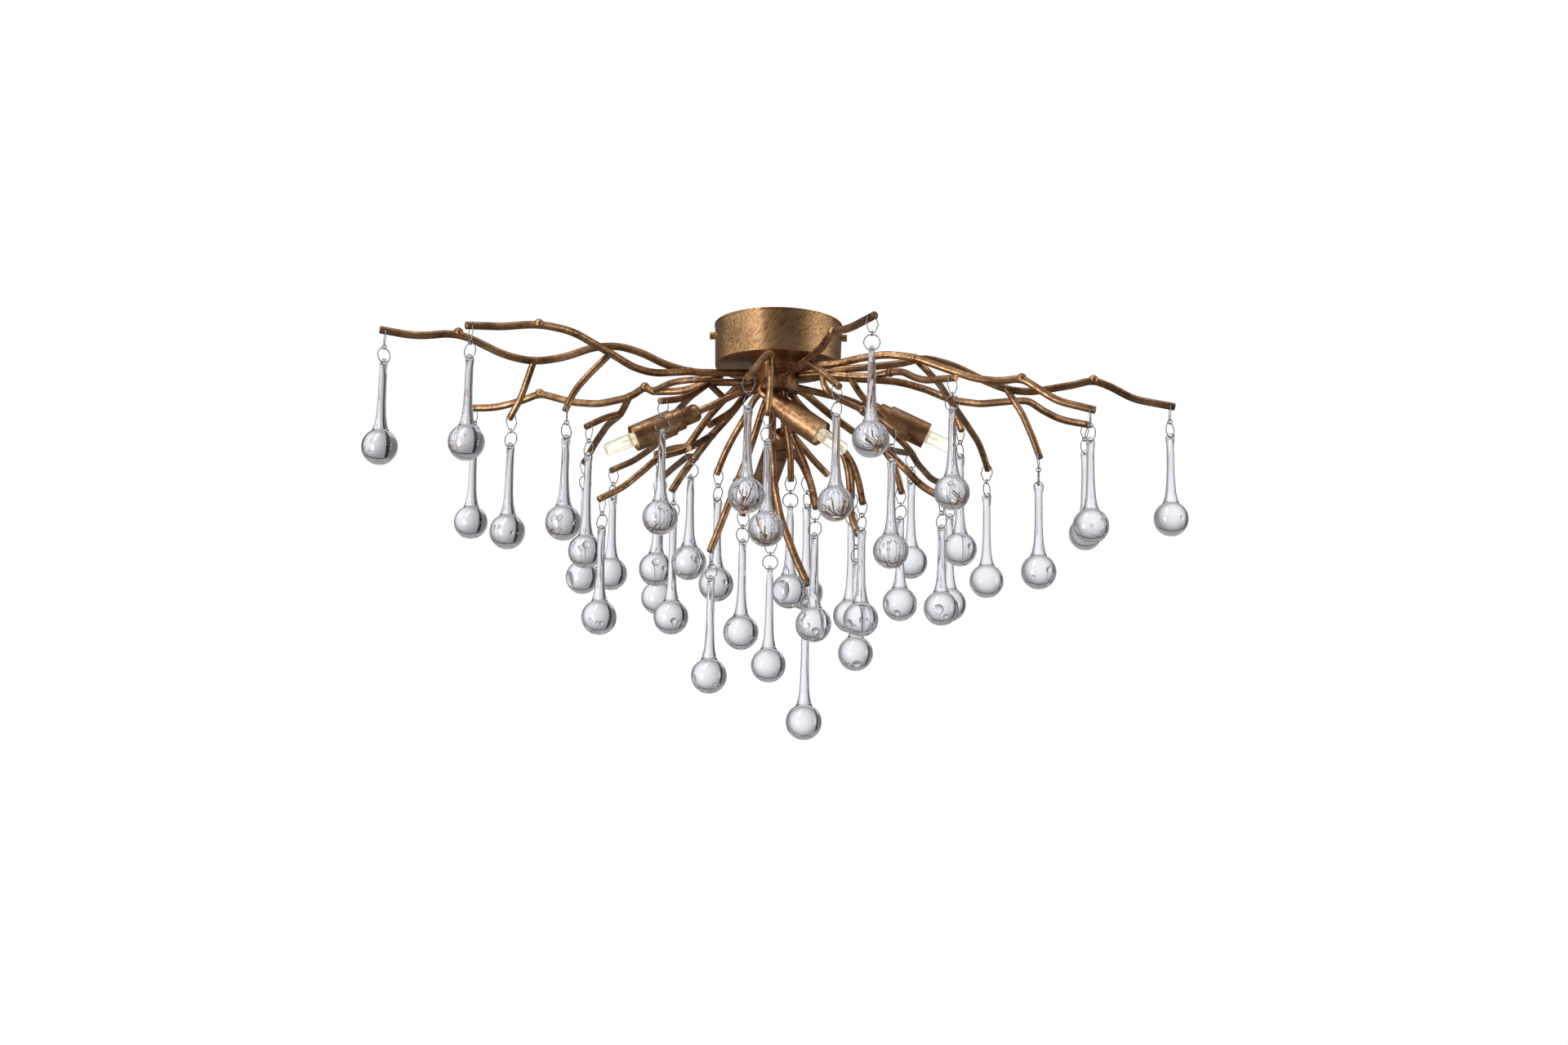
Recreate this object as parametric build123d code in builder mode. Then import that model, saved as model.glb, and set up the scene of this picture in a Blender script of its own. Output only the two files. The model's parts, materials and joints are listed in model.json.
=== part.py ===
from build123d import *
from collections import namedtuple
from math import cos, radians, sin, sqrt, tan
import os

# Flush mount ceiling light: bent metal rods burst from a canopy and carry glass drops and four lamps.
# Origin: centre of the canopy's top rim, on the ceiling. +Z is up, -Y is the front, sizes are in mm.

# Overall sizes
tip_span = 887.0            # from the far left rod tip to the far right one
rod_fall = 260.0            # from the canopy's floor down to the lowest rod tip
routes_span = 887.0         # the span that the rods' points below were chosen at
routes_fall = 260.0         # the fall that they were chosen at
routes_floor = -49.0        # the height of the canopy's floor that they were chosen at
routes_hub_radius = 24.0    # the hub that the rods' starts were chosen at

# Canopy
canopy_radius = 72.5
canopy_taper = 1.0          # the floor is this much smaller in radius
canopy_height = 49.0
canopy_wall = 1.2
canopy_rim = 0.6            # the rolled top rim stands out this far
rim_height = 1.6
floor_edge_radius = 1.6

# Ceiling bracket
bracket_width = 20.0
bracket_thickness = 2.0
bracket_gap = 3.2           # between a tab and the canopy's wall
tab_length = 22.0
ceiling_screw_spacing = 80.0
ceiling_slot_length = 16.0
ceiling_slot_width = 5.0
cable_hole_radius = 9.5

# Thumb screws
thumb_screw_depth = 13.0    # below the ceiling
thumb_shank_radius = 2.0
thumb_hole_clearance = 0.2
tab_hole_clearance = 0.08
thumb_head_radius = 4.2
thumb_head_length = 6.0
thumb_head_gap = 0.1
knurl_count = 20
knurl_radius = 0.35

# Terminal block
block_length = 28.0
block_width = 16.0
block_height = 12.0
pole_spacing = 9.0
wire_hole_radius = 1.9
clamp_hole_radius = 1.6
block_centre_x = 21.5
block_bevel = 1.0

# Hub
hub_radius = 24.0
hub_height = 30.0
flange_radius = 27.0
flange_thickness = 3.0
wireway_radius = 6.0
wireway_depth = 26.0
lead_port_radius = 2.0
weld_gap = 0.1

# Hub screws
hub_screw_count = 3
hub_screw_circle = 16.0
hub_screw_radius = 2.5
hub_screw_length = 12.0
hub_screw_clearance = 0.15
hub_thread_clearance = 0.05
pan_head_radius = 4.5
pan_head_height = 3.2
cross_slot_width = 1.0

# Rods
thick_rod = 8.5
middle_rod = 8.0
thin_rod = 7.5
largest_bend = 120.0        # bend radius on the rod's centre line
bend_share = 0.45           # of the shorter run, taken up by a bend on each side of its corner
weld_bead = 0.5             # a weld at a fork stands out from the thicker rod by this
knot_rise = 1.3             # a knot stands out from its rod by this
weld_tolerance = 0.001      # faces nearer than this are taken as touching when rods are fused
tip_hole_inset = 6.0
tip_hole_radius = 1.3
tip_chamfer = 0.5

# Chain at a rod's tip
bail_wire_radius = 0.55
bail_side_gap = 0.75        # between the thickest rod's side and the bail's upper bends
bail_flare = 5.0            # the bail's widest part is this much wider than its top
bail_widest_at = 8.0
bail_bottom_width = 7.0
bail_height = 17.0
bail_corner = 1.2
bail_sag = 0.35             # the bail's top bar hangs below the middle of the tip hole
jump_ring_radius = 2.6
jump_wire_radius = 0.5
drop_ring_radius = 8.6
drop_wire_radius = 0.6
link_gap = 0.3              # between one link and the next

# Glass drop
eye_radius = 6.1
eye_top = 5.7
eye_thickness = 6.2
eye_crown_width = 0.75      # of the eye's radius, halfway round its crown
eye_crown_height = 0.66     # of the eye's top, there
eye_hole_radius = 2.2
eye_slack = 0.7             # the ring's wire passes this far above the middle of the eye's hole
pinch_start = 3.0
pinch_end = 16.0
pinch_run_out = 0.3        # the pinch's flats have left the stem by this at their end
stem_top_at = 8.0
stem_top_radius = 4.4
stem_waist_at = 30.0
stem_waist_radius = 4.2
stem_foot_radius = 5.2
stem_foot_above_ball = 36.0
neck_radius = 8.2
ball_radius = 19.7

# Lamp holder
arm_radius = 4.0
arm_lead = 14.0             # the arm runs straight into the throat over this length
throat_radius = 10.3
throat_length = 21.0
throat_round = 6.0          # rounding at the back of the throat
collar_radius = 12.7
collar_length = 12.0
step_bevel = 1.2
sleeve_radius = 15.0
sleeve_length = 49.5        # from the collar to the mouth
sleeve_wall = 1.0
sleeve_back = 2.0
lead_space_radius = 9.0     # room for the leads behind the socket

# Lamp socket and bulb
socket_length = 27.0
socket_clearance = 0.2
socket_seat = 0.3
socket_recess = 3.5         # the socket's face lies this far inside the mouth
socket_bevel = 0.8
bulb_radius = 7.0
bulb_tip_round = 0.7        # of the bulb's radius
bulb_foot_round = 0.3       # of the bulb's radius
bulb_length = 40.0          # glass tube, from the socket's face to the domed tip
bulb_base_width = 13.0
bulb_base_thickness = 5.0
bulb_base_length = 11.0
bulb_base_round = 1.5
bulb_clearance = 0.3
pin_radius = 0.6
pin_length = 8.0
pin_spacing = 9.0
pin_clearance = 0.35
socket_lead_radius = 1.5

# Places worked out from the sizes above
canopy_floor = -canopy_height
hub_bottom = canopy_floor - hub_height
span_scale = tip_span / routes_span
fall_scale = rod_fall / routes_fall

# Rods. Each is bent from one bar, with its corners at the points given. It starts inside the hub, or at a
# corner of another rod, whose number is given with the corner's. A rod and its glass drop share a number.
Rod = namedtuple("Rod", "diameter start corners")
HubStart = namedtuple("HubStart", "x y z")
Fork = namedtuple("Fork", "rod corner")

left_rods = {
    1: Rod(thick_rod, HubStart(-22, -3, -57), [
        (-67, -14, -61), (-99, -25, -64), (-129, -36, -58), (-153, -48, -49), (-178, -60, -45),
        (-205, -72, -50), (-238, -88, -68), (-270, -100, -77), (-301, -112, -74), (-352, -128, -53),
        (-396, -140, -62), (-436, -150, -58)]),
    2: Rod(thick_rod, Fork(1, 2), [
        (-139, -52, -74), (-161, -78, -75), (-185, -108, -68), (-225, -160, -59), (-259, -188, -60),
        (-297, -205, -69), (-335, -220, -73)]),
    3: Rod(thick_rod, HubStart(-21, 7, -66), [
        (-79, 14, -64), (-107, 22, -73), (-143, 40, -69), (-153, 46, -62), (-171, 62, -70),
        (-208, 90, -71), (-241, 112, -63), (-281, 136, -46), (-302, 148, -52), (-335, 160, -58),
        (-365, 170, -56)]),
    4: Rod(thin_rod, Fork(1, 8), [(-278, -92, -98), (-285, -80, -114), (-298, -66, -134)]),
    5: Rod(thin_rod, Fork(2, 3), [(-207, -112, -93), (-223, -114, -113), (-233, -114, -137)]),
    6: Rod(thin_rod, Fork(7, 1), [(-200, 80, -90), (-221, 64, -106)]),
    7: Rod(middle_rod, Fork(3, 5), [
        (-182, 90, -83), (-199, 125, -86), (-217, 175, -97), (-230, 205, -112)]),
    8: Rod(thin_rod, Fork(3, 1), [
        (-101, 50, -72), (-126, 105, -84), (-143, 165, -99), (-172, 225, -103), (-201, 262, -106)]),
    9: Rod(thin_rod, Fork(14, 3), [
        (-102, 34, -139), (-135, 26, -151), (-150, 18, -168), (-172, 4, -192), (-199, -12, -211)]),
    10: Rod(thin_rod, Fork(3, 1), [(-94, -16, -86), (-109, -50, -103), (-130, -80, -114)]),
    11: Rod(middle_rod, HubStart(-17, 13, -68), [
        (-43, 14, -65), (-60, 20, -82), (-78, 27, -101), (-93, 32, -122), (-102, 40, -134),
        (-119, 62, -130), (-140, 84, -132)]),
    12: Rod(thin_rod, Fork(14, 3), [(-86, -2, -139), (-98, -26, -153)]),
    13: Rod(thin_rod, Fork(14, 4), [(-103, 90, -132), (-121, 160, -127), (-140, 215, -129)]),
    14: Rod(thick_rod, HubStart(-12, 8, -72), [
        (-34, 8, -76), (-51, 16, -99), (-74, 30, -122), (-93, 40, -146), (-108, 42, -167),
        (-119, 40, -187)]),
    "left stub": Rod(thin_rod, Fork(14, 1), [(-50, -8, -104), (-76, -40, -130)]),
    "upper leg": Rod(thin_rod, Fork(3, 3), [(-119, 8, -66), (-95, -6, -67), (-62, -8, -66)]),
    "lower leg": Rod(thin_rod, Fork(3, 1), [(-60, 20, -82)]),
}
lower_rods = {
    15: Rod(thin_rod, HubStart(-6, -6, -74), [
        (-24, -4, -84), (-37, 4, -109), (-49, 14, -128), (-59, 24, -146), (-68, 34, -168)]),
    16: Rod(middle_rod, HubStart(-7, -4, -74), [
        (-16, -8, -100), (-24, -16, -131), (-33, -22, -163), (-43, -26, -191), (-59, -32, -238),
        (-72, -36, -275)]),
    17: Rod(thin_rod, Fork(16, 3), [(-33, -8, -196), (-37, 2, -224)]),
    20: Rod(thin_rod, Fork(24, 4), [(-5, 35, -213), (-5, 62, -240)]),
    21: Rod(thin_rod, HubStart(3, 2, -76), [(9, 8, -105), (16, 18, -140), (17, 20, -178)]),
    22: Rod(thin_rod, Fork(21, 2), [(29, 60, -146), (38, 86, -159)]),
    23: Rod(middle_rod, HubStart(8, -3, -76), [
        (10, -2, -103), (19, -10, -133), (33, -38, -176), (41, -60, -208), (45, -74, -232)]),
    24: Rod(thick_rod, HubStart(-2, 4, -74), [
        (-5, 4, -101), (-5, 4, -135), (-3, 2, -164), (-1, -4, -194), (6, -14, -230),
        (23, -22, -276), (38, -26, -309)]),
    "lower stub": Rod(thin_rod, Fork(23, 2), [(42, 6, -156), (59, 20, -170)]),
}
right_rods = {
    26: Rod(thin_rod, Fork(28, 3), [(87, 100, -139), (89, 140, -166)]),
    27: Rod(thin_rod, Fork(28, 2), [(73, 6, -139), (87, -6, -163), (94, -14, -188), (98, -20, -213)]),
    28: Rod(middle_rod, HubStart(15, 9, -77), [
        (26, 16, -89), (51, 26, -111), (74, 34, -133), (83, 40, -159), (85, 42, -186),
        (86, 38, -213), (95, 32, -237)]),
    31: Rod(thin_rod, Fork(35, 4), [(145, 150, -106), (163, 215, -91)]),
    32: Rod(thin_rod, Fork(35, 4), [(135, 86, -136), (141, 80, -156), (145, 74, -176)]),
    33: Rod(middle_rod, HubStart(22, -5, -60), [
        (44, -20, -61), (81, -38, -69), (104, -50, -73), (126, -62, -71), (139, -70, -72),
        (160, -92, -89), (196, -134, -97)]),
    34: Rod(thin_rod, Fork(40, 5), [(205, 80, -74), (214, 72, -101)]),
    35: Rod(thick_rod, HubStart(14, 17, -66), [
        (31, 28, -71), (62, 50, -91), (93, 66, -109), (124, 76, -122), (149, 70, -148),
        (167, 56, -172), (194, 40, -191)]),
    36: Rod(thin_rod, Fork(33, 2), [
        (95, -30, -91), (114, -18, -103), (130, -6, -125), (150, 20, -136), (163, 62, -144),
        (181, 118, -147), (208, 168, -145)]),
    37: Rod(thin_rod, Fork(39, 5), [
        (165, -80, -72), (182, -40, -77), (199, 10, -85), (218, 60, -95), (237, 105, -108),
        (248, 125, -134)]),
    38: Rod(thin_rod, Fork(41, 7), [(277, -30, -109), (287, -34, -135), (296, -36, -161)]),
    39: Rod(thick_rod, HubStart(15, -16, -57), [
        (44, -50, -60), (64, -60, -62), (93, -72, -58), (119, -82, -56), (152, -92, -62),
        (188, -102, -78), (219, -110, -91), (246, -116, -95), (269, -120, -92), (287, -126, -106),
        (307, -132, -121), (348, -140, -133)]),
    40: Rod(thick_rod, HubStart(20, 9, -58), [
        (54, 16, -55), (101, 26, -54), (139, 36, -53), (172, 54, -57), (202, 76, -63),
        (237, 104, -59), (278, 138, -45), (298, 156, -39), (315, 172, -46), (339, 195, -51),
        (375, 220, -50)]),
    41: Rod(thick_rod, HubStart(19, -11, -56), [
        (49, -26, -59), (90, -38, -60), (139, -36, -53), (164, -34, -45), (196, -30, -51),
        (233, -26, -68), (259, -24, -78), (286, -22, -80), (335, -20, -70), (358, -18, -63),
        (380, -15, -71), (403, -12, -83), (451, -10, -91)]),
}
front_rods = {
    18: Rod(middle_rod, HubStart(-4, -21, -62), [
        (-6, -50, -66), (-8, -100, -62), (-17, -150, -85), (-32, -204, -122)]),
    19: Rod(thin_rod, Fork(18, 2), [(-7, -116, -88), (-8, -126, -119), (-10, -130, -142)]),
    25: Rod(middle_rod, Fork(29, 2), [(49, -128, -91), (68, -152, -115)]),
    29: Rod(thick_rod, HubStart(6, -21, -60), [
        (10, -45, -69), (31, -100, -71), (48, -150, -70), (59, -205, -68), (76, -245, -77),
        (102, -292, -76)]),
    30: Rod(thin_rod, Fork(25, 1), [
        (52, -128, -111), (69, -124, -121), (94, -112, -129), (114, -98, -137), (132, -84, -147)]),
}
rods = left_rods | lower_rods | right_rods | front_rods

# Knots: corners where a side shoot was cut off
knots = [Fork(1, 10), Fork(2, 5), Fork(3, 8), Fork(3, 4), Fork(9, 2), Fork(16, 4), Fork(29, 4), Fork(30, 3),
         Fork(33, 4), Fork(39, 9), Fork(41, 10)]

# Glass drops: the ring's bearing in degrees, and the length from the eye's hole to the middle of the ball
Drop = namedtuple("Drop", "bearing length")
drops = {
    1: Drop(46, 94), 2: Drop(-40, 92), 3: Drop(50, 102), 4: Drop(-35, 96), 5: Drop(55, 94),
    6: Drop(-50, 112), 7: Drop(40, 106), 8: Drop(60, 92), 9: Drop(-45, 100), 10: Drop(20, 96),
    11: Drop(75, 100), 12: Drop(-15, 96), 13: Drop(50, 108), 14: Drop(-40, 114), 15: Drop(-53, 96),
    16: Drop(-40, 108), 17: Drop(35, 102), 18: Drop(-55, 94), 19: Drop(30, 96), 20: Drop(0, 110),
    21: Drop(0, 96), 22: Drop(60, 100), 23: Drop(-35, 98), 24: Drop(45, 122), 25: Drop(-50, 96),
    26: Drop(35, 108), 27: Drop(-57, 100), 28: Drop(-45, 104), 29: Drop(0, 96), 30: Drop(50, 100),
    31: Drop(-60, 96), 32: Drop(-41, 98), 33: Drop(-30, 92), 34: Drop(60, 108), 35: Drop(-50, 92),
    36: Drop(45, 104), 37: Drop(60, 100), 38: Drop(90, 98), 39: Drop(-55, 94), 40: Drop(50, 98),
    41: Drop(52, 94),
}

# Lamps: where the arm leaves the hub, the back of the throat, and the bearing and dip of the lamp's axis
Lamp = namedtuple("Lamp", "start throat bearing dip")
lamps = [
    Lamp(HubStart(-20, -8, -70), (-88, -20, -108), 191, 27),
    Lamp(HubStart(-10, -18, -68), (-12, -23.5, -91), -21, 36.5),
    Lamp(HubStart(20, 4, -71), (96, 28, -84.5), 6, 23.5),
    Lamp(HubStart(6, 18, -72), (7, 36, -115.5), 106, 30),
]


def spread(point):
    """A point of a route, moved with the light's width, fall and canopy."""
    x, y, z = point
    return Vector(x * span_scale, y * span_scale, canopy_floor + (z - routes_floor) * fall_scale)


def on_hub(start):
    """A point inside the hub, moved with the hub."""
    across = hub_radius / routes_hub_radius
    return Vector(start.x * across, start.y * across, canopy_floor + start.z - routes_floor)


def corner_turn(points, corner):
    """The turn at a corner in radians, and the shorter of its two runs."""
    run_in = points[corner] - points[corner - 1]
    run_out = points[corner + 1] - points[corner]
    return radians(run_in.get_angle(run_out)), min(run_in.length, run_out.length)


def bend_radius(points, corner):
    turn, shorter_run = corner_turn(points, corner)
    return min(largest_bend, bend_share * shorter_run / tan(turn / 2))


def route(name):
    """All the points of a rod, from its start to its tip."""
    rod = rods[name]
    if isinstance(rod.start, HubStart):
        first = on_hub(rod.start)
    else:
        first = middle_of_bend(rod.start)
    return [first] + [spread(corner) for corner in rod.corners]


def middle_of_bend(fork):
    """The point of a rod's centre line that is nearest to one of its corners."""
    points = route(fork.rod)
    if fork.corner == len(points) - 1:
        return points[-1]
    turn, _ = corner_turn(points, fork.corner)
    inward = (points[fork.corner + 1] - points[fork.corner]).normalized()
    inward -= (points[fork.corner] - points[fork.corner - 1]).normalized()
    cut = bend_radius(points, fork.corner) * (1 / cos(turn / 2) - 1)
    return points[fork.corner] + inward.normalized() * cut


def tip_hole(name):
    """The middle of the tip's cross hole, and the level direction in which it is drilled."""
    points = route(name)
    along = (points[-1] - points[-2]).normalized()
    across = Vector(-along.Y, along.X, 0)
    if across.length < 0.05:
        across = Vector(1, 0, 0)
    return points[-1] - along * tip_hole_inset, across.normalized()


def bent_tube(points, radius):
    """A round bar along a route with rounded corners."""
    radii = [bend_radius(points, corner) for corner in range(1, len(points) - 1)]
    with BuildPart() as tube:
        with BuildLine() as path:
            if radii:
                FilletPolyline(*points, radius=radii)
            else:
                Line(*points)
        with BuildSketch(Plane(origin=path.line @ 0, z_dir=path.line % 0)):
            Circle(radius)
        sweep()
    return tube.part


def bead_plane(centre, fork, seam_side):
    """A plane across a rod at one of its corners, with X to the side where a bead's seam goes."""
    points = route(fork.rod)
    along = (points[fork.corner] - points[fork.corner - 1]).normalized()
    if fork.corner < len(points) - 1:
        along += (points[fork.corner + 1] - points[fork.corner]).normalized()
    return Plane(origin=centre, x_dir=seam_side - along * (seam_side.dot(along) / along.dot(along)), z_dir=along)


def rod_part(name):
    """One rod with its welds, knots and chamfered end and, where it carries a drop, its cross hole."""
    points = route(name)
    rod_radius = rods[name].diameter / 2
    with BuildPart() as rod:
        add(bent_tube(points, rod_radius))
        if name not in ("upper leg", "lower leg"):
            end_edge = rod.edges().filter_by(GeomType.CIRCLE).sort_by_distance(points[-1])[0]
            chamfer(end_edge, tip_chamfer)
        if name in drops:
            centre, across = tip_hole(name)
            with Locations(Plane(origin=centre, z_dir=across)):
                Cylinder(tip_hole_radius, thick_rod * 2, mode=Mode.SUBTRACT)
        for corner in range(1, len(points)):
            weld = Fork(name, corner)
            shoots = [route(shoot)[1] - route(shoot)[0] for shoot, other in rods.items() if other.start == weld]
            if shoots:
                with Locations(bead_plane(middle_of_bend(weld), weld, -sum(shoots, Vector(0, 0, 0)))):
                    Sphere(rod_radius + weld_bead)
            if weld in knots:
                with Locations(bead_plane(points[corner], weld, Vector(0, 0.1, 1))):
                    Sphere(rod_radius + knot_rise)
    return rod.part


def cluster_part(group):
    """The rods of one side, welded at their forks and cut to the hub's outside."""
    bars = [rod_part(name) for name in group]
    welded = bars[0]
    for bar in bars[1:]:
        welded = welded.fuse(bar, tol=weld_tolerance)
    with BuildPart() as cluster:
        add(welded)
        add(hub_space.part, mode=Mode.SUBTRACT)
    return cluster.part


def lamp_direction(lamp):
    level = cos(radians(lamp.dip))
    bearing = radians(lamp.bearing)
    return Vector(level * cos(bearing), level * sin(bearing), -sin(radians(lamp.dip)))


def lamp_plane(lamp, distance):
    """A plane across the lamp's axis, this far from the back of the throat."""
    direction = lamp_direction(lamp)
    return Plane(origin=spread(lamp.throat) + direction * distance, z_dir=direction,
                 x_dir=Vector(0, 0, 1).cross(direction))


def arm_route(lamp, reach):
    """From the hub along the arm, and on into the throat as far as the reach."""
    throat = spread(lamp.throat)
    direction = lamp_direction(lamp)
    return [on_hub(lamp.start), throat - direction * arm_lead, throat + direction * reach]


def lead_port(lamp):
    """The leads' way from the middle of the hub into a lamp's arm."""
    arm_start, arm_bend, _ = arm_route(lamp, 0)
    middle = Vector(0, 0, arm_start.Z)
    return bent_tube([middle, arm_start, arm_start + (arm_bend - arm_start) / 2], lead_port_radius)


# Space that the hub and its welds take up, cut from whatever is welded to it
with BuildPart() as hub_space:
    with BuildSketch(Plane.XY.offset(hub_bottom - weld_gap)):
        Circle(hub_radius + weld_gap)
    extrude(amount=hub_height + weld_gap)
    with BuildSketch(Plane.XY.offset(canopy_floor - flange_thickness - weld_gap)):
        Circle(flange_radius + weld_gap)
    extrude(amount=flange_thickness + weld_gap)

# Branches
branches = {
    "left_branches": cluster_part(left_rods),
    "lower_branches": cluster_part(lower_rods),
    "right_branches": cluster_part(right_rods),
    "front_branches": cluster_part(front_rods),
}

# Canopy: a spun cup, open to the ceiling
with BuildPart() as canopy:
    with BuildSketch(Plane.XZ):
        with BuildLine():
            Polyline(
                (0, canopy_floor), (canopy_radius - canopy_taper, canopy_floor),
                (canopy_radius, -rim_height), (canopy_radius + canopy_rim, -rim_height),
                (canopy_radius + canopy_rim, 0), (canopy_radius - canopy_wall, 0),
                (canopy_radius - canopy_wall, -rim_height),
                (canopy_radius - canopy_taper - canopy_wall, canopy_floor + canopy_wall),
                (0, canopy_floor + canopy_wall), close=True)
        make_face()
    revolve(axis=Axis.Z)
    outer_edge = canopy.edges().filter_by(GeomType.CIRCLE).group_by(Axis.Z)[0].sort_by(SortBy.RADIUS)[-1]
    fillet(outer_edge, min(floor_edge_radius, canopy_wall * 0.9))
    with BuildSketch(Plane.XY.offset(canopy_floor)):
        Circle(wireway_radius)
        with PolarLocations(hub_screw_circle, hub_screw_count):
            Circle(hub_screw_radius + hub_screw_clearance)
    extrude(amount=canopy_wall, mode=Mode.SUBTRACT)
    with Locations(Plane(origin=(0, 0, -thumb_screw_depth), z_dir=(1, 0, 0))):
        Cylinder(thumb_shank_radius + thumb_hole_clearance, 3 * canopy_radius, mode=Mode.SUBTRACT)

# Ceiling bracket: a flat bar with two ends bent down
tab_outside = canopy_radius - canopy_wall - bracket_gap
with BuildPart() as ceiling_bracket:
    with BuildSketch(Plane.XZ) as bracket_profile:
        with BuildLine():
            Polyline(
                (-tab_outside, 0), (tab_outside, 0), (tab_outside, -tab_length),
                (tab_outside - bracket_thickness, -tab_length),
                (tab_outside - bracket_thickness, -bracket_thickness),
                (bracket_thickness - tab_outside, -bracket_thickness),
                (bracket_thickness - tab_outside, -tab_length), (-tab_outside, -tab_length), close=True)
        make_face()
    extrude(amount=bracket_width / 2, both=True)
    bends = ceiling_bracket.edges().filter_by(Axis.Y).group_by(Axis.Z)
    fillet(bends[-1], bracket_thickness * 1.4)
    fillet(bends[-2], bracket_thickness * 0.4)
    with BuildSketch(Plane.XY.offset(-bracket_thickness)):
        Circle(cable_hole_radius)
        with GridLocations(ceiling_screw_spacing, 0, 2, 1):
            SlotOverall(ceiling_slot_length, ceiling_slot_width)
    extrude(amount=bracket_thickness, mode=Mode.SUBTRACT)
    with Locations(Plane(origin=(0, 0, -thumb_screw_depth), z_dir=(1, 0, 0))):
        Cylinder(thumb_shank_radius + tab_hole_clearance, 3 * canopy_radius, mode=Mode.SUBTRACT)

# Thumb screws: knurled heads outside the canopy, shanks in the bracket's tabs
wall_slope = canopy_taper / (canopy_height - rim_height)
wall_outside = canopy_radius - (thumb_screw_depth - rim_height) * wall_slope
head_inside = wall_outside + thumb_head_gap
with BuildPart() as thumb_screws:
    for side in (1, -1):
        with BuildSketch(Plane(origin=(side * (tab_outside - tab_length / 4), 0, -thumb_screw_depth),
                               z_dir=(side, 0, 0))):
            Circle(thumb_shank_radius)
        extrude(amount=head_inside - tab_outside + tab_length / 4 + thumb_head_length / 2)
        with BuildSketch(Plane(origin=(side * head_inside, 0, -thumb_screw_depth), z_dir=(side, 0, 0))):
            Circle(thumb_head_radius)
            with PolarLocations(thumb_head_radius, knurl_count):
                Circle(knurl_radius, mode=Mode.SUBTRACT)
        extrude(amount=thumb_head_length)

# Terminal block under the bracket
block_top = -bracket_thickness
with BuildPart() as terminal_block:
    with Locations((block_centre_x, 0, block_top)):
        Box(block_width, block_length, block_height, align=(Align.CENTER, Align.CENTER, Align.MAX))
    chamfer(terminal_block.edges().filter_by(Axis.X).group_by(Axis.Z)[0], block_bevel)
    with Locations(Plane(origin=(block_centre_x, 0, block_top - block_height / 2), z_dir=(1, 0, 0))):
        with GridLocations(0, pole_spacing, 1, 3):
            Cylinder(wire_hole_radius, block_width, mode=Mode.SUBTRACT)
    with Locations((block_centre_x, 0, block_top - block_height)):
        with GridLocations(block_width / 2, pole_spacing, 2, 3):
            Cylinder(clamp_hole_radius, block_height / 2, align=(Align.CENTER, Align.CENTER, Align.MIN),
                     mode=Mode.SUBTRACT)

lead_ports = [lead_port(lamp) for lamp in lamps]

# Hub: a turned block under the canopy's floor, with a wireway and a port to each lamp arm
with BuildPart() as hub:
    with BuildSketch(Plane.XY.offset(hub_bottom)):
        Circle(hub_radius)
    extrude(amount=hub_height)
    with BuildSketch(Plane.XY.offset(canopy_floor - flange_thickness)):
        Circle(flange_radius)
    extrude(amount=flange_thickness)
    with BuildSketch(Plane.XY.offset(canopy_floor)):
        Circle(wireway_radius)
    extrude(amount=-wireway_depth, mode=Mode.SUBTRACT)
    with BuildSketch(Plane.XY.offset(canopy_floor)):
        with PolarLocations(hub_screw_circle, hub_screw_count):
            Circle(hub_screw_radius + hub_thread_clearance)
    extrude(amount=-hub_screw_length, mode=Mode.SUBTRACT)
    add(lead_ports, mode=Mode.SUBTRACT)

# Hub screws: pan heads on the canopy's floor
floor_top = canopy_floor + canopy_wall
with BuildPart() as hub_screws:
    with BuildSketch(Plane.XY.offset(floor_top)):
        with PolarLocations(hub_screw_circle, hub_screw_count):
            Circle(hub_screw_radius)
    extrude(amount=-hub_screw_length)
    with BuildSketch(Plane.XY.offset(floor_top)):
        with PolarLocations(hub_screw_circle, hub_screw_count):
            Circle(pan_head_radius)
    extrude(amount=pan_head_height)
    chamfer(hub_screws.edges().group_by(Axis.Z)[-1], pan_head_height / 4)
    with BuildSketch(Plane.XY.offset(floor_top + pan_head_height)):
        with PolarLocations(hub_screw_circle, hub_screw_count):
            Rectangle(pan_head_radius, cross_slot_width)
            Rectangle(cross_slot_width, pan_head_radius)
    extrude(amount=-pan_head_height / 2, mode=Mode.SUBTRACT)


# Lamp holder, drawn along +Z from the back of its throat: throat, collar and sleeve
collar_start = throat_length
sleeve_start = collar_start + collar_length
mouth = sleeve_start + sleeve_length
bore_radius = sleeve_radius - sleeve_wall
socket_face = mouth - socket_recess
socket_bottom = socket_face - socket_length
seat = socket_bottom - socket_seat
lead_space_start = sleeve_start + sleeve_back
with BuildPart() as holder_body:
    with BuildSketch(Plane.XZ):
        with BuildLine():
            Polyline(
                (0, 0), (throat_radius, 0), (throat_radius, collar_start),
                (collar_radius - step_bevel, collar_start), (collar_radius, collar_start + step_bevel),
                (collar_radius, sleeve_start), (sleeve_radius - step_bevel, sleeve_start),
                (sleeve_radius, sleeve_start + step_bevel), (sleeve_radius, mouth), (bore_radius, mouth),
                (bore_radius, seat), (lead_space_radius, seat), (lead_space_radius, lead_space_start),
                (0, lead_space_start), close=True)
        make_face()
    revolve(axis=Axis.Z)
    fillet(holder_body.edges().filter_by(GeomType.CIRCLE).group_by(Axis.Z)[0], throat_round)

arms = [bent_tube(arm_route(lamp, collar_start), arm_radius) for lamp in lamps]
arm_bores = [bent_tube(arm_route(lamp, lead_space_start + sleeve_wall), lead_port_radius) for lamp in lamps]
with BuildPart() as lamp_holders:
    add(arms)
    with Locations(*[lamp_plane(lamp, 0) for lamp in lamps]):
        add(holder_body.part)
    add(arm_bores, mode=Mode.SUBTRACT)
    add(hub_space.part, mode=Mode.SUBTRACT)

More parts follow.
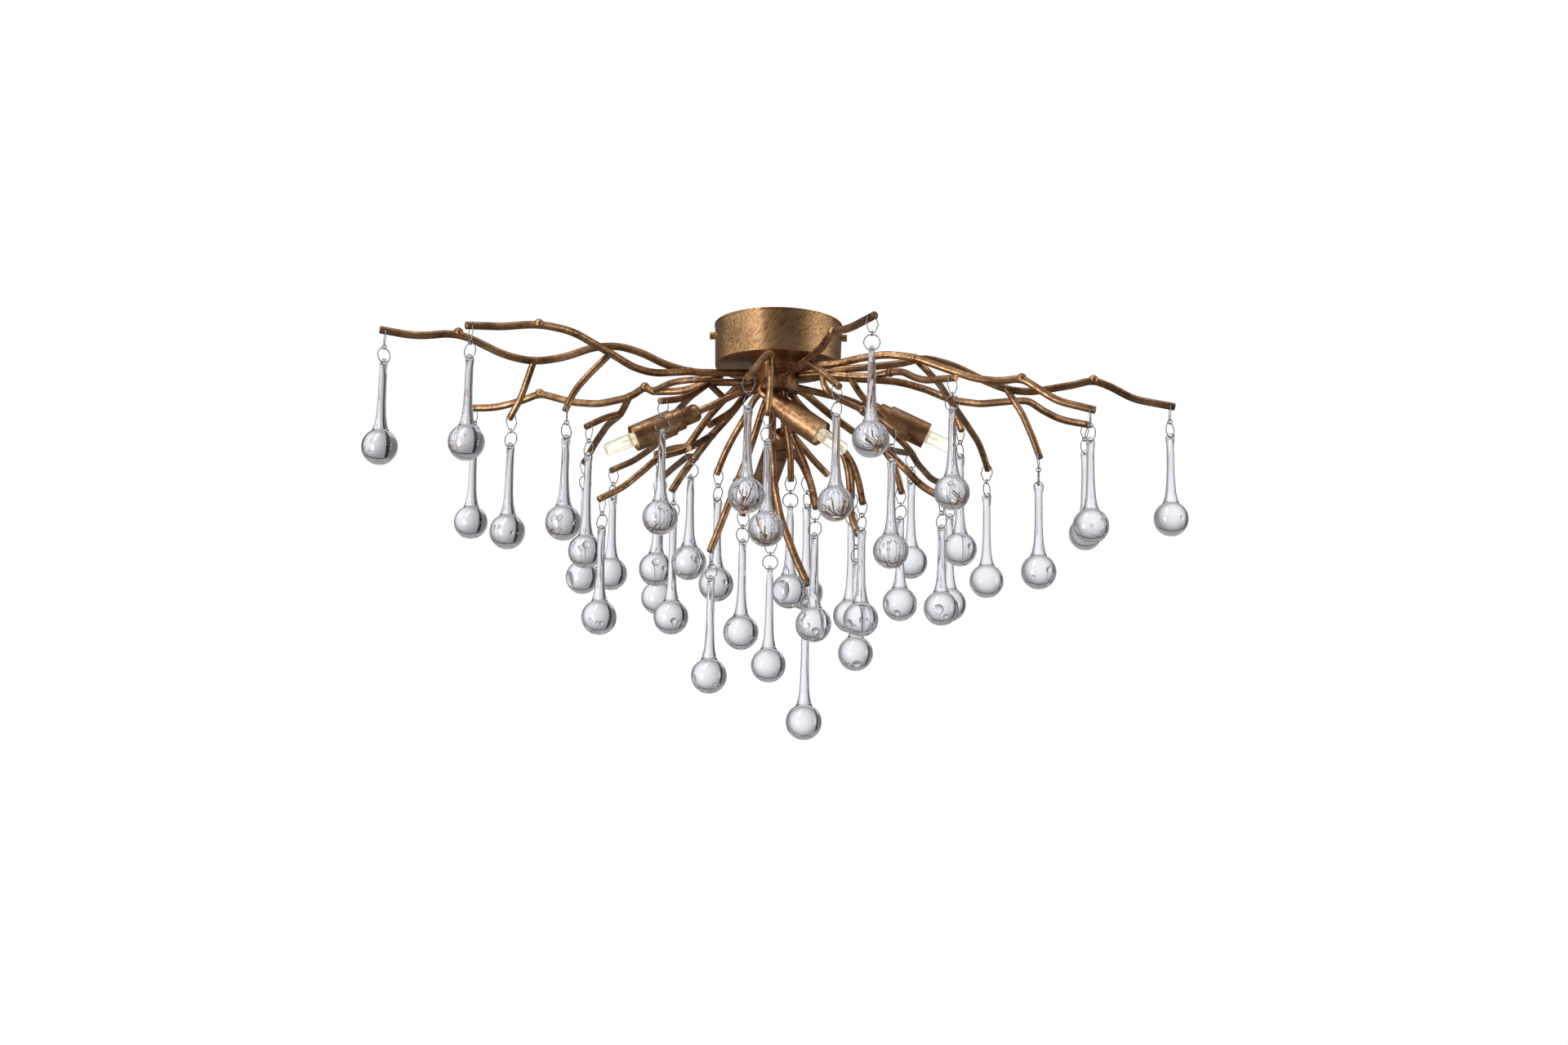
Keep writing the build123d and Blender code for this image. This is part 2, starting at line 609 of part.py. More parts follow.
# Lamp socket, drawn along +Z: ceramic, with a slot for the bulb's flat base and two holes for its pins
base_bottom = socket_face + bulb_clearance - bulb_base_length
with BuildPart() as socket_body:
    with BuildSketch(Plane.XY.offset(socket_bottom)):
        Circle(bore_radius - socket_clearance)
    extrude(amount=socket_face - socket_bottom)
    chamfer(socket_body.edges().group_by(Axis.Z)[-1], socket_bevel)
    with BuildSketch(Plane.XY.offset(socket_face)):
        Rectangle(bulb_base_width + 2 * bulb_clearance, bulb_base_thickness + 2 * bulb_clearance)
    extrude(amount=base_bottom - bulb_clearance - socket_face, mode=Mode.SUBTRACT)
    with BuildSketch(Plane.XY.offset(base_bottom)):
        with GridLocations(pin_spacing, 0, 2, 1):
            Circle(pin_radius + pin_clearance)
    extrude(amount=-(pin_length + bulb_clearance), mode=Mode.SUBTRACT)
    with BuildSketch(Plane.XY.offset(socket_bottom)):
        with GridLocations(pin_spacing, 0, 2, 1):
            Circle(socket_lead_radius)
    extrude(amount=(base_bottom - pin_length - socket_bottom) / 2, mode=Mode.SUBTRACT)

with BuildPart() as lamp_sockets:
    with Locations(*[lamp_plane(lamp, 0) for lamp in lamps]):
        add(socket_body.part)

# Bulb, drawn along +Z: glass tube with a domed tip, pinched flat base, two pins
with BuildPart() as bulb_body:
    with BuildSketch(Plane.XY.offset(socket_face + bulb_clearance)):
        Circle(bulb_radius)
    extrude(amount=bulb_length)
    fillet(bulb_body.edges().group_by(Axis.Z)[-1], bulb_radius * bulb_tip_round)
    fillet(bulb_body.edges().filter_by(GeomType.CIRCLE).group_by(Axis.Z)[0], bulb_radius * bulb_foot_round)
    with BuildSketch(Plane.XY.offset(base_bottom)):
        RectangleRounded(bulb_base_width, bulb_base_thickness, bulb_base_round)
    extrude(amount=bulb_base_length + bulb_radius * bulb_foot_round)
    with BuildSketch(Plane.XY.offset(base_bottom)):
        with GridLocations(pin_spacing, 0, 2, 1):
            Circle(pin_radius)
    extrude(amount=-pin_length)


# Chain: a bail through the tip hole, a jump ring and a larger ring through the drop's eye
bail_top_width = thick_rod + 2 * bail_side_gap
bail_widest = bail_top_width + bail_flare
bail_bottom = -bail_sag - bail_height
jump_centre = bail_bottom + bail_wire_radius + link_gap + jump_wire_radius - jump_ring_radius
drop_ring_top = jump_centre - jump_ring_radius + jump_wire_radius + link_gap + drop_wire_radius
drop_ring_centre = drop_ring_top - drop_ring_radius
pivot_depth = drop_ring_radius - drop_ring_centre


def tip_plane(name, depth):
    """Below a tip hole, with X along the hole and Z up."""
    centre, across = tip_hole(name)
    return Plane(origin=centre - Vector(0, 0, depth), x_dir=across, z_dir=(0, 0, 1))


def ring_direction(name):
    """The level direction in which the larger ring lies, on the tip hole's side."""
    bearing = radians(drops[name].bearing)
    direction = Vector(cos(bearing), sin(bearing), 0)
    _, across = tip_hole(name)
    return direction if direction.dot(across) > 0 else -direction


def jump_ring_plane(name):
    """The jump ring stands halfway between the bail and the larger ring."""
    centre, across = tip_hole(name)
    return Plane(origin=centre + Vector(0, 0, jump_centre), z_dir=(across + ring_direction(name)).normalized())


def drop_ring_plane(name):
    centre, _ = tip_hole(name)
    side = Vector(0, 0, 1).cross(ring_direction(name))
    return Plane(origin=centre + Vector(0, 0, drop_ring_centre), z_dir=side)


def eye_plane(name):
    """The middle of a drop's eye hole, with X along the hole and Z up."""
    centre, _ = tip_hole(name)
    bearing = radians(drops[name].bearing)
    return Plane(origin=centre - Vector(0, 0, pivot_depth + eye_slack),
                 x_dir=(cos(bearing), sin(bearing), 0), z_dir=(0, 0, 1))


# Bail: a six-sided wire loop, drawn in XZ with the middle of the tip hole at the origin
with BuildPart() as bail_body:
    with BuildLine(Plane.XZ) as bail_path:
        FilletPolyline(
            (bail_top_width / 2, -bail_sag), (bail_widest / 2, -bail_sag - bail_widest_at),
            (bail_bottom_width / 2, bail_bottom), (-bail_bottom_width / 2, bail_bottom),
            (-bail_widest / 2, -bail_sag - bail_widest_at), (-bail_top_width / 2, -bail_sag),
            radius=bail_corner, close=True)
    with BuildSketch(Plane(origin=bail_path.line @ 0, z_dir=bail_path.line % 0)):
        Circle(bail_wire_radius)
    sweep()

with BuildPart() as tip_bails:
    with Locations(*[tip_plane(name, 0) for name in drops]):
        add(bail_body.part)

with BuildPart() as jump_rings:
    with Locations(*[jump_ring_plane(name) for name in drops]):
        Torus(jump_ring_radius, jump_wire_radius)

with BuildPart() as drop_rings:
    with Locations(*[drop_ring_plane(name) for name in drops]):
        Torus(drop_ring_radius, drop_wire_radius)


def glass_drop_part(name):
    """A solid glass drop: ball, long stem and flattened eye, drawn with the eye's hole at the origin along X."""
    length = drops[name].length
    neck_height = sqrt(ball_radius ** 2 - neck_radius ** 2)
    flank = ball_radius * sqrt(0.5)
    with BuildPart() as glass:
        with BuildSketch(Plane.XZ):
            with BuildLine():
                ThreePointArc((0, eye_top), (eye_radius * eye_crown_width, eye_top * eye_crown_height), (eye_radius, 0))
                Line((eye_radius, 0), (stem_top_radius, -stem_top_at))
                Line((stem_top_radius, -stem_top_at), (stem_waist_radius, -stem_waist_at))
                foot = Line((stem_waist_radius, -stem_waist_at),
                            (stem_foot_radius, stem_foot_above_ball - length))
                TangentArc((stem_foot_radius, stem_foot_above_ball - length),
                           (neck_radius, neck_height - length), tangent=foot % 1)
                ThreePointArc((neck_radius, neck_height - length), (ball_radius, -length),
                              (flank, -length - flank))
                ThreePointArc((flank, -length - flank),
                              (ball_radius * sin(radians(22.5)), -length - ball_radius * cos(radians(22.5))),
                              (0, -length - ball_radius))
                Line((0, -length - ball_radius), (0, eye_top))
            make_face()
        revolve(axis=Axis.Z)
        with BuildSketch(Plane.XZ):
            with BuildLine():
                Polyline(
                    (eye_thickness / 2, 2 * eye_top), (eye_thickness / 2, -pinch_start),
                    (stem_top_radius + pinch_run_out, -pinch_end), (3 * eye_radius, -pinch_end),
                    (3 * eye_radius, 2 * eye_top), close=True)
            make_face()
            mirror(about=Plane.YZ)
        extrude(amount=2 * eye_radius, both=True, mode=Mode.SUBTRACT)
        with Locations(Plane(origin=(0, 0, 0), z_dir=(1, 0, 0))):
            Cylinder(eye_hole_radius, 3 * eye_radius, mode=Mode.SUBTRACT)
    return glass.part


# Write every sub-part to its own file
nodes = dict(branches)
nodes.update(
    canopy=canopy.part, ceiling_bracket=ceiling_bracket.part, thumb_screws=thumb_screws.part,
    terminal_block=terminal_block.part, hub=hub.part, hub_screws=hub_screws.part,
    lamp_holders=lamp_holders.part, lamp_sockets=lamp_sockets.part, tip_bails=tip_bails.part,
    jump_rings=jump_rings.part, drop_rings=drop_rings.part)

for number, lamp in enumerate(lamps, start=1):
    with BuildPart() as bulb:
        with Locations(lamp_plane(lamp, 0)):
            add(bulb_body.part)
    nodes[f"bulb_{number}"] = bulb.part

for number in drops:
    drop_body = glass_drop_part(number)
    with BuildPart() as glass_drop:
        with Locations(eye_plane(number)):
            add(drop_body)
    nodes[f"glass_drop_{number:02d}"] = glass_drop.part

os.makedirs("parts", exist_ok=True)
for name, part in nodes.items():
    part.label = name
    export_step(part, f"parts/{name}.step")
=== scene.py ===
import json
import math

import bpy
from mathutils import Matrix, Vector, noise


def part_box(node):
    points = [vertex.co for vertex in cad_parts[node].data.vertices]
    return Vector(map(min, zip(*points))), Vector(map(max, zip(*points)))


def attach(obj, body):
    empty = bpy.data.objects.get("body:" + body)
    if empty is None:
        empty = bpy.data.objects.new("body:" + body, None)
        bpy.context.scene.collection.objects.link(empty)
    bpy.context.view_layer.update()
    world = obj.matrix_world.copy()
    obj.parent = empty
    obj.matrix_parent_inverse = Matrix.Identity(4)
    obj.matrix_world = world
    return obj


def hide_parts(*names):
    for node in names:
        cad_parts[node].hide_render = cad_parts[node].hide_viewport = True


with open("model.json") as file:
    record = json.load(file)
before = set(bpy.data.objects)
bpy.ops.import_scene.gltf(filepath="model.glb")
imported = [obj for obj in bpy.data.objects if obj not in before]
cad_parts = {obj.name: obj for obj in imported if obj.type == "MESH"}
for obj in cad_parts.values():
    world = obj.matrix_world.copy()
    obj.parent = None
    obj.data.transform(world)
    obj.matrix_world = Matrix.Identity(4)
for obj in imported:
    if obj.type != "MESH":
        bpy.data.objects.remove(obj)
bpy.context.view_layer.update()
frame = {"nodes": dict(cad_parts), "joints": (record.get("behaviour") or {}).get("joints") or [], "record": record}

record = frame["record"]
nodes = frame["nodes"]
joints = {joint["name"]: joint for joint in frame["joints"]}
MM = 0.001
SAME_SPOT = 0.01 * MM       # vertices nearer than this are merged


# Helpers

def linear(hex_colour):
    """A colour written as sRGB hex, as linear RGBA."""
    parts = [int(hex_colour[i:i + 2], 16) / 255 for i in (1, 3, 5)]
    return tuple(p / 12.92 if p <= 0.04045 else ((p + 0.055) / 1.055) ** 2.4 for p in parts) + (1.0,)


def per_mm(size):
    """The scale of a pattern whose features are this many millimetres apart."""
    return 1000 / size


def add_node(tree, kind, settings, inputs):
    """Adds a node. An input is a value, or another node's output to link."""
    made = tree.nodes.new(kind)
    for name, value in settings.items():
        setattr(made, name, value)
    for name, value in inputs.items():
        if isinstance(value, bpy.types.NodeSocket):
            tree.links.new(value, made.inputs[name])
        else:
            made.inputs[name].default_value = value
    return made


def new_material(name):
    made = bpy.data.materials.new(name)
    made.use_nodes = True
    made.node_tree.nodes.clear()
    return made, made.node_tree


def finish_material(tree, inputs, bump=None):
    """Puts the surface shader, its bump and the output on a material."""
    surface = add_node(tree, "ShaderNodeBsdfPrincipled", {}, inputs)
    if bump:
        tree.links.new(bump.outputs["Normal"], surface.inputs["Normal"])
    add_node(tree, "ShaderNodeOutputMaterial", {}, {"Surface": surface.outputs[0]})


def select_only(piece):
    if bpy.context.object and bpy.context.object.mode != "OBJECT":
        bpy.ops.object.mode_set(mode="OBJECT")
    bpy.ops.object.select_all(action="DESELECT")
    piece.select_set(True)
    bpy.context.view_layer.objects.active = piece


def edit_vertices(piece, wanted):
    """Opens a piece in edit mode with the wanted vertices selected, and nothing else."""
    select_only(piece)
    bpy.ops.object.mode_set(mode="EDIT")
    bpy.ops.mesh.select_mode(type="VERT")
    bpy.ops.mesh.select_all(action="DESELECT")
    bpy.ops.object.mode_set(mode="OBJECT")
    for vertex in piece.data.vertices:
        vertex.select = wanted(vertex.co)
    bpy.ops.object.mode_set(mode="EDIT")


def turned(name, profile, steps):
    """A piece turned on a lathe. A point is drawn through the profile, which is (radius, height) in mm, and
    the line is spun round Z."""
    bpy.ops.object.select_all(action="DESELECT")
    bpy.ops.mesh.primitive_plane_add(size=MM)
    piece = bpy.context.object
    piece.name = name
    bpy.ops.object.mode_set(mode="EDIT")
    bpy.ops.mesh.select_mode(type="VERT")
    bpy.ops.mesh.merge(type="CENTER")
    radius, height = profile[0]
    bpy.ops.transform.translate(value=(radius * MM, 0, height * MM))
    for (radius, height), (next_radius, next_height) in zip(profile, profile[1:]):
        step = ((next_radius - radius) * MM, 0, (next_height - height) * MM)
        bpy.ops.mesh.extrude_region_move(TRANSFORM_OT_translate={"value": step})
    bpy.ops.mesh.select_all(action="SELECT")
    bpy.ops.mesh.spin(steps=steps, angle=math.tau, center=(0, 0, 0), axis=(0, 0, 1))
    bpy.ops.mesh.select_all(action="SELECT")
    bpy.ops.mesh.remove_doubles(threshold=SAME_SPOT)
    bpy.ops.mesh.select_all(action="SELECT")
    bpy.ops.mesh.normals_make_consistent(inside=False)
    bpy.ops.object.mode_set(mode="OBJECT")
    return piece


def arc(centre, radius, start, end, steps):
    """Profile points round a centre, from one angle to another in degrees. 0 is outwards and 90 is up."""
    angles = [math.radians(start + (end - start) * i / steps) for i in range(steps + 1)]
    return [(centre[0] + radius * math.cos(a), centre[1] + radius * math.sin(a)) for a in angles]


def apply_modifiers(piece):
    select_only(piece)
    for modifier in list(piece.modifiers):
        bpy.ops.object.modifier_apply(modifier=modifier.name)


def smooth(piece, degrees):
    """Shades a piece smooth, apart from edges sharper than this."""
    select_only(piece)
    bpy.ops.object.shade_smooth_by_angle(angle=math.radians(degrees))


def own_copy(piece, name, place=None):
    """A copy with its own mesh, and with its place put into the mesh."""
    made = piece.copy()
    made.data = piece.data.copy()
    made.name = name
    bpy.context.scene.collection.objects.link(made)
    if place:
        made.data.transform(place)
    made.matrix_world = Matrix.Identity(4)
    return made


def finish_piece(piece, body, material, slot, *stands_for):
    """Gives a piece its material and its body, and hides the CAD parts it stands for."""
    piece.data.materials.clear()
    piece.data.materials.append(material)
    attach(piece, body)
    if stands_for:
        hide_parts(*stands_for)


def joined(pieces, name):
    """Several pieces as one."""
    bpy.ops.object.select_all(action="DESELECT")
    for piece in pieces:
        piece.select_set(True)
    bpy.context.view_layer.objects.active = pieces[0]
    bpy.ops.object.join()
    pieces[0].name = name
    return pieces[0]


# Materials

# Lines finer than about half a millimetre wouldn't show, so brush, drawing and turning lines are drawn coarser than
# the real ones.

def burnished_bronze(name, turn, stretch, bristle, streak_share, shine, *shades):
    """Brass-plated steel, toned dark brown and rubbed back with a wire brush. The brush leaves gold on what
    stands out, brown in between, and short dark streaks along its way. A streak is a bristle wide, in mm, and
    streak_share is how much the streaks count against the cloudy patches of the toning. The shades run from
    dark to bright."""
    made, tree = new_material(name)
    place = add_node(tree, "ShaderNodeTexCoord", {}, {}).outputs["Object"]
    along_brush = add_node(tree, "ShaderNodeMapping", {"vector_type": "TEXTURE"}, {
        "Vector": place, "Rotation": turn, "Scale": stretch}).outputs[0]
    patches = add_node(tree, "ShaderNodeTexNoise", {}, {
        "Vector": place, "Scale": per_mm(30), "Detail": 3, "Roughness": 0.55}).outputs["Fac"]
    streaks = add_node(tree, "ShaderNodeTexNoise", {}, {
        "Vector": along_brush, "Scale": per_mm(bristle), "Detail": 3, "Roughness": 0.55}).outputs["Fac"]
    tone = add_node(tree, "ShaderNodeMix", {"data_type": "FLOAT"}, {
        0: streak_share, 2: patches, 3: streaks}).outputs[0]
    colour = add_node(tree, "ShaderNodeValToRGB", {}, {"Fac": tone})
    ramp = colour.color_ramp.elements
    ramp[0].position, ramp[0].color = shades[0][0], linear(shades[0][1])
    ramp[1].position, ramp[1].color = shades[-1][0], linear(shades[-1][1])
    for position, shade in shades[1:-1]:
        ramp.new(position).color = linear(shade)
    rough = add_node(tree, "ShaderNodeMapRange", {}, {
        "Value": streaks, "From Min": 0.3, "From Max": 0.7, "To Min": shine + 0.16, "To Max": shine}).outputs[0]
    bump = add_node(tree, "ShaderNodeBump", {}, {"Height": streaks, "Strength": 0.2, "Distance": 0.1 * MM})
    finish_material(tree, {"Base Color": colour.outputs[0], "Metallic": 1.0, "Roughness": rough}, bump)
    return made


def clear_glass():
    """Soda glass, drawn by hand from the furnace: clear, with a faint violet grey in the thick of it."""
    made, tree = new_material("hand_drawn_glass")
    place = add_node(tree, "ShaderNodeTexCoord", {}, {}).outputs["Object"]
    cords = add_node(tree, "ShaderNodeTexNoise", {}, {
        "Vector": place, "Scale": per_mm(9), "Detail": 2}).outputs["Fac"]
    bump = add_node(tree, "ShaderNodeBump", {}, {"Height": cords, "Strength": 0.12, "Distance": 0.5 * MM})
    finish_material(tree, {"Base Color": linear("#F5F5F9"), "Roughness": 0.0, "IOR": 1.5,
                           "Transmission Weight": 1.0}, bump)
    return made


def bright_wire():
    """Nickel-plated steel wire, drawn and cut: bright, with fine lines that dull it a little. Its colour is painted
    darker than bare nickel, as painted shade for the dim parts of a room that such thin wire mirrors."""
    made, tree = new_material("nickel_plated_wire")
    place = add_node(tree, "ShaderNodeTexCoord", {}, {}).outputs["Object"]
    lines = add_node(tree, "ShaderNodeTexNoise", {}, {
        "Vector": place, "Scale": per_mm(0.7), "Detail": 2}).outputs["Fac"]
    # Both shades are painted darker than bare nickel: painted shade for the dim room that the wire mirrors.
    colour = add_node(tree, "ShaderNodeMix", {"data_type": "RGBA"}, {
        0: lines, 6: linear("#66666A"), 7: linear("#A6A6AA")}).outputs[2]
    rough = add_node(tree, "ShaderNodeMapRange", {}, {"Value": lines, "To Min": 0.2, "To Max": 0.36}).outputs[0]
    finish_material(tree, {"Base Color": colour, "Metallic": 1.0, "Roughness": rough})
    return made


def zinc():
    """Zinc-plated steel sheet: bluish grey, with the spangle of the plating."""
    made, tree = new_material("zinc_plated_steel")
    place = add_node(tree, "ShaderNodeTexCoord", {}, {}).outputs["Object"]
    spangle = add_node(tree, "ShaderNodeTexVoronoi", {}, {"Vector": place, "Scale": per_mm(3)}).outputs["Color"]
    tone = add_node(tree, "ShaderNodeSeparateColor", {}, {"Color": spangle}).outputs[0]
    colour = add_node(tree, "ShaderNodeMix", {"data_type": "RGBA"}, {
        0: tone, 6: linear("#A9ADB2"), 7: linear("#C9CDD2")}).outputs[2]
    rough = add_node(tree, "ShaderNodeMapRange", {}, {"Value": tone, "To Min": 0.28, "To Max": 0.42}).outputs[0]
    finish_material(tree, {"Base Color": colour, "Metallic": 1.0, "Roughness": rough})
    return made


def brass():
    """Brass rod, turned and knurled: yellow, with fine turning lines."""
    made, tree = new_material("turned_brass")
    place = add_node(tree, "ShaderNodeTexCoord", {}, {}).outputs["Object"]
    lines = add_node(tree, "ShaderNodeTexNoise", {}, {
        "Vector": place, "Scale": per_mm(0.8), "Detail": 3}).outputs["Fac"]
    colour = add_node(tree, "ShaderNodeMix", {"data_type": "RGBA"}, {
        0: lines, 6: linear("#A8843F"), 7: linear("#E3C583")}).outputs[2]
    bump = add_node(tree, "ShaderNodeBump", {}, {"Height": lines, "Strength": 0.3, "Distance": 0.1 * MM})
    finish_material(tree, {"Base Color": colour, "Metallic": 1.0, "Roughness": 0.3}, bump)
    return made


def ceramic():
    """Glazed ceramic, pressed and fired: cream, with small dark specks and a soft gloss."""
    made, tree = new_material("glazed_ceramic")
    place = add_node(tree, "ShaderNodeTexCoord", {}, {}).outputs["Object"]
    specks = add_node(tree, "ShaderNodeTexNoise", {}, {
        "Vector": place, "Scale": per_mm(1.2), "Detail": 3}).outputs["Fac"]
    colour = add_node(tree, "ShaderNodeValToRGB", {}, {"Fac": specks})
    colour.color_ramp.elements[0].position, colour.color_ramp.elements[0].color = 0.32, linear("#8E6B45")
    colour.color_ramp.elements[1].position, colour.color_ramp.elements[1].color = 0.55, linear("#E2CBA2")
    finish_material(tree, {"Base Color": colour.outputs[0], "Roughness": 0.35})
    return made


def moulded_plastic():
    """Moulded polyamide: off-white, with the fine grain of the mould."""
    made, tree = new_material("moulded_polyamide")
    place = add_node(tree, "ShaderNodeTexCoord", {}, {}).outputs["Object"]
    grain = add_node(tree, "ShaderNodeTexNoise", {}, {
        "Vector": place, "Scale": per_mm(0.6), "Detail": 2}).outputs["Fac"]
    colour = add_node(tree, "ShaderNodeMix", {"data_type": "RGBA"}, {
        0: grain, 6: linear("#D8D6CE"), 7: linear("#EAE8E0")}).outputs[2]
    bump = add_node(tree, "ShaderNodeBump", {}, {"Height": grain, "Strength": 0.3, "Distance": 0.1 * MM})
    finish_material(tree, {"Base Color": colour, "Roughness": 0.55}, bump)
    return made


def lit_glass():
    """Quartz glass of a lit capsule bulb: clear, warmed a little by the filament inside, with faint lines from
    the drawing of the tube."""
    made, tree = new_material("lit_quartz_glass")
    place = add_node(tree, "ShaderNodeTexCoord", {}, {}).outputs["Object"]
    drawn = add_node(tree, "ShaderNodeTexNoise", {}, {
        "Vector": place, "Scale": per_mm(5), "Detail": 1}).outputs["Fac"]
    glow = add_node(tree, "ShaderNodeMix", {"data_type": "RGBA"}, {
        0: drawn, 6: linear("#FFF0D2"), 7: linear("#FFFBF0")}).outputs[2]
    bump = add_node(tree, "ShaderNodeBump", {}, {"Height": drawn, "Strength": 0.1, "Distance": 0.3 * MM})
    finish_material(tree, {"Base Color": linear("#FFFDF2"), "Roughness": 0.0, "IOR": 1.46,
                           "Transmission Weight": 1.0, "Emission Color": glow, "Emission Strength": 0.1}, bump)
    return made


def glowing_tungsten():
    """Coiled tungsten wire at full heat: yellow-white, a little cooler here and there."""
    made, tree = new_material("glowing_tungsten")
    place = add_node(tree, "ShaderNodeTexCoord", {}, {}).outputs["Object"]
    coil = add_node(tree, "ShaderNodeTexNoise", {}, {
        "Vector": place, "Scale": per_mm(0.8), "Detail": 1}).outputs["Fac"]
    heat = add_node(tree, "ShaderNodeMix", {"data_type": "RGBA"}, {
        0: coil, 6: linear("#FFE6B8"), 7: linear("#FFF6E2")}).outputs[2]
    finish_material(tree, {"Base Color": linear("#6B665F"), "Metallic": 1.0, "Roughness": 0.4,
                           "Emission Color": heat, "Emission Strength": 2.0})
    return made


def stay_wire():
    """Molybdenum and nickel wire of the stays and pins: grey, slightly tarnished by the heat."""
    made, tree = new_material("molybdenum_wire")
    place = add_node(tree, "ShaderNodeTexCoord", {}, {}).outputs["Object"]
    tarnish = add_node(tree, "ShaderNodeTexNoise", {}, {
        "Vector": place, "Scale": per_mm(3), "Detail": 2}).outputs["Fac"]
    colour = add_node(tree, "ShaderNodeMix", {"data_type": "RGBA"}, {
        0: tarnish, 6: linear("#5E5750"), 7: linear("#9A958E")}).outputs[2]
    finish_material(tree, {"Base Color": colour, "Metallic": 1.0, "Roughness": 0.38})
    return made


rod_bronze = burnished_bronze(
    "burnished_bronze_rod", (0, 0, 0), (1, 1, 1), 4.0, 0.4, 0.30,
    (0.32, "#43301F"), (0.42, "#815D40"), (0.54, "#A7805B"), (0.68, "#D5AE87"))
canopy_bronze = burnished_bronze(
    "burnished_bronze_canopy", (0, math.radians(42), 0), (1, 1, 18), 1.4, 0.75, 0.27,
    (0.33, "#3A2617"), (0.40, "#84603F"), (0.50, "#AD865E"), (0.66, "#CDA77C"))
drop_glass = clear_glass()
materials_for = {
    "patinated_metal": rod_bronze, "zinc_plate": zinc(), "turned_brass": brass(), "chain_wire": bright_wire(),
    "drop_glass": drop_glass, "bulb_glass": drop_glass, "socket_ceramic": ceramic(),
    "block_plastic": moulded_plastic()}
for row in record["subparts"]:
    node = nodes[row["node"]]
    node.data.materials.clear()
    node.data.materials.append(materials_for[row["material_slot"]])
nodes["canopy"].data.materials[0] = canopy_bronze       # the canopy was brushed slantwise


# Glass drops: ball, stem and pierced eye, in mm. One is made at a middle length, and its copies are stretched.
EYE_BELOW_RING = 0.7        # the middle of the eye's hole is this far below the ring's lowest wire
EYE_HOLE_RADIUS = 2.2
EYE_END, EYE_FADE = 8, 10   # the eye is true down to here, and the glass gets wavier over the fade below it
BALL_RADIUS = 19.7
MADE_LENGTH = 100.0         # from the eye's middle to the ball's
STRETCH_TOP, STRETCH_FOOT = 24.0, MADE_LENGTH - 40.0
WAVE_SPACING, WAVE_SHARE = 14, 0.02         # waves of the surface, as a share of the radius
SWAY_SPACING, SWAY = 38, 0.35               # the stem leans a little one way and the other
noise.seed_set(1)                           # the leans would differ from run to run without it

drop_profile = (
    [(0, 5.7), (2.0, 5.3), (3.9, 4.3), (5.2, 2.6), (5.9, 0.4), (5.7, -2.5), (5.1, -5.5), (4.6, -8.5), (4.35, -12),
     (4.3, -18), (4.3, -STRETCH_TOP), (4.35, -36), (4.55, -46), (4.85, -54), (5.15, -STRETCH_FOOT)]
    + [(5.5, -65), (6.0, -69.5), (6.7, -73.5), (7.5, -77), (8.4, -79.8), (9.2, -81.7), (9.4, -82.15), (9.0, -82.6)]
    + arc((0, -MADE_LENGTH), BALL_RADIUS, 61.5, -84, 24) + [(0, -MADE_LENGTH - BALL_RADIUS)])
drop_master = turned("drop_master", drop_profile, 48)
# The eye is pressed flat between tongs while it is hot, less and less down the stem, then pierced.
for highest, lowest, thinned in ((6, -4, 0.56), (-4, -7, 0.66), (-7, -10, 0.8), (-10, -13, 0.93)):
    edit_vertices(drop_master, lambda spot: lowest * MM < spot.z <= highest * MM)
    bpy.ops.transform.resize(value=(thinned, 1, 1), center_override=(0, 0, 0))
    bpy.ops.object.mode_set(mode="OBJECT")
bpy.ops.object.select_all(action="DESELECT")
bpy.ops.mesh.primitive_cylinder_add(vertices=20, radius=EYE_HOLE_RADIUS * MM, depth=20 * MM)
piercer = bpy.context.object
piercer.data.transform(Matrix.Rotation(math.radians(90), 4, "Y"))
pierce = drop_master.modifiers.new("pierce", "BOOLEAN")
pierce.object, pierce.operation, pierce.solver = piercer, "DIFFERENCE", "EXACT"
apply_modifiers(drop_master)
bpy.data.objects.remove(piercer)
smooth(drop_master, 50)

for number in range(1, 42):
    node_name = f"glass_drop_{number:02d}"
    joint = joints[f"drop_{number:02d}_swing"]
    eye = Vector(joint["pos_m"]) - Vector((0, 0, EYE_BELOW_RING * MM))
    length = (eye.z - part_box(node_name)[0].z) / MM - BALL_RADIUS
    drop = own_copy(drop_master, node_name + "_glass")
    for vertex in drop.data.vertices:
        depth = -vertex.co.z / MM
        share = min(max((depth - STRETCH_TOP) / (STRETCH_FOOT - STRETCH_TOP), 0), 1)
        vertex.co.z -= share * (length - MADE_LENGTH) * MM
        # Each drop reads its own part of the pattern. Its waves are longer down the drop than round it.
        spot = Vector((vertex.co.x, vertex.co.y, vertex.co.z * 0.6)) * per_mm(WAVE_SPACING)
        wave = WAVE_SHARE * noise.noise(spot + Vector((number * 7.3, 0, 0)))
        lean = noise.noise_vector(Vector((number * 3.1, 0, vertex.co.z * per_mm(SWAY_SPACING))))
        most_in_middle = share * (1 - share) * 4
        below_eye = min(max((depth - EYE_END) / EYE_FADE, 0), 1)
        vertex.co.x += (vertex.co.x * wave + SWAY * MM * lean.x * most_in_middle) * below_eye
        vertex.co.y += (vertex.co.y * wave + SWAY * MM * lean.y * most_in_middle) * below_eye
    bearing = math.atan2(joint["axis"][1], joint["axis"][0])
    drop.data.transform(Matrix.Translation(eye) @ Matrix.Rotation(bearing, 4, "Z"))
    drop.data.update()
    finish_piece(drop, joint["child"], drop_glass, "drop_glass", node_name)
    drop.visible_shadow = False
bpy.data.objects.remove(drop_master)


# Bulbs: a clear glass tube with the filament on its stays, pressed flat at the foot, with two pins, in mm
BULB_RADIUS, GLASS_LENGTH, GLASS_WALL, PIN_SPACING = 7.6, 40.0, 0.8, 9.0
FOOT_SIZE, FOOT_MIDDLE = (12.4, 3.4, 8.4), -3.0
STAY_RADIUS, PIN_RADIUS, COIL_RADIUS = 0.28, 0.6, 0.34


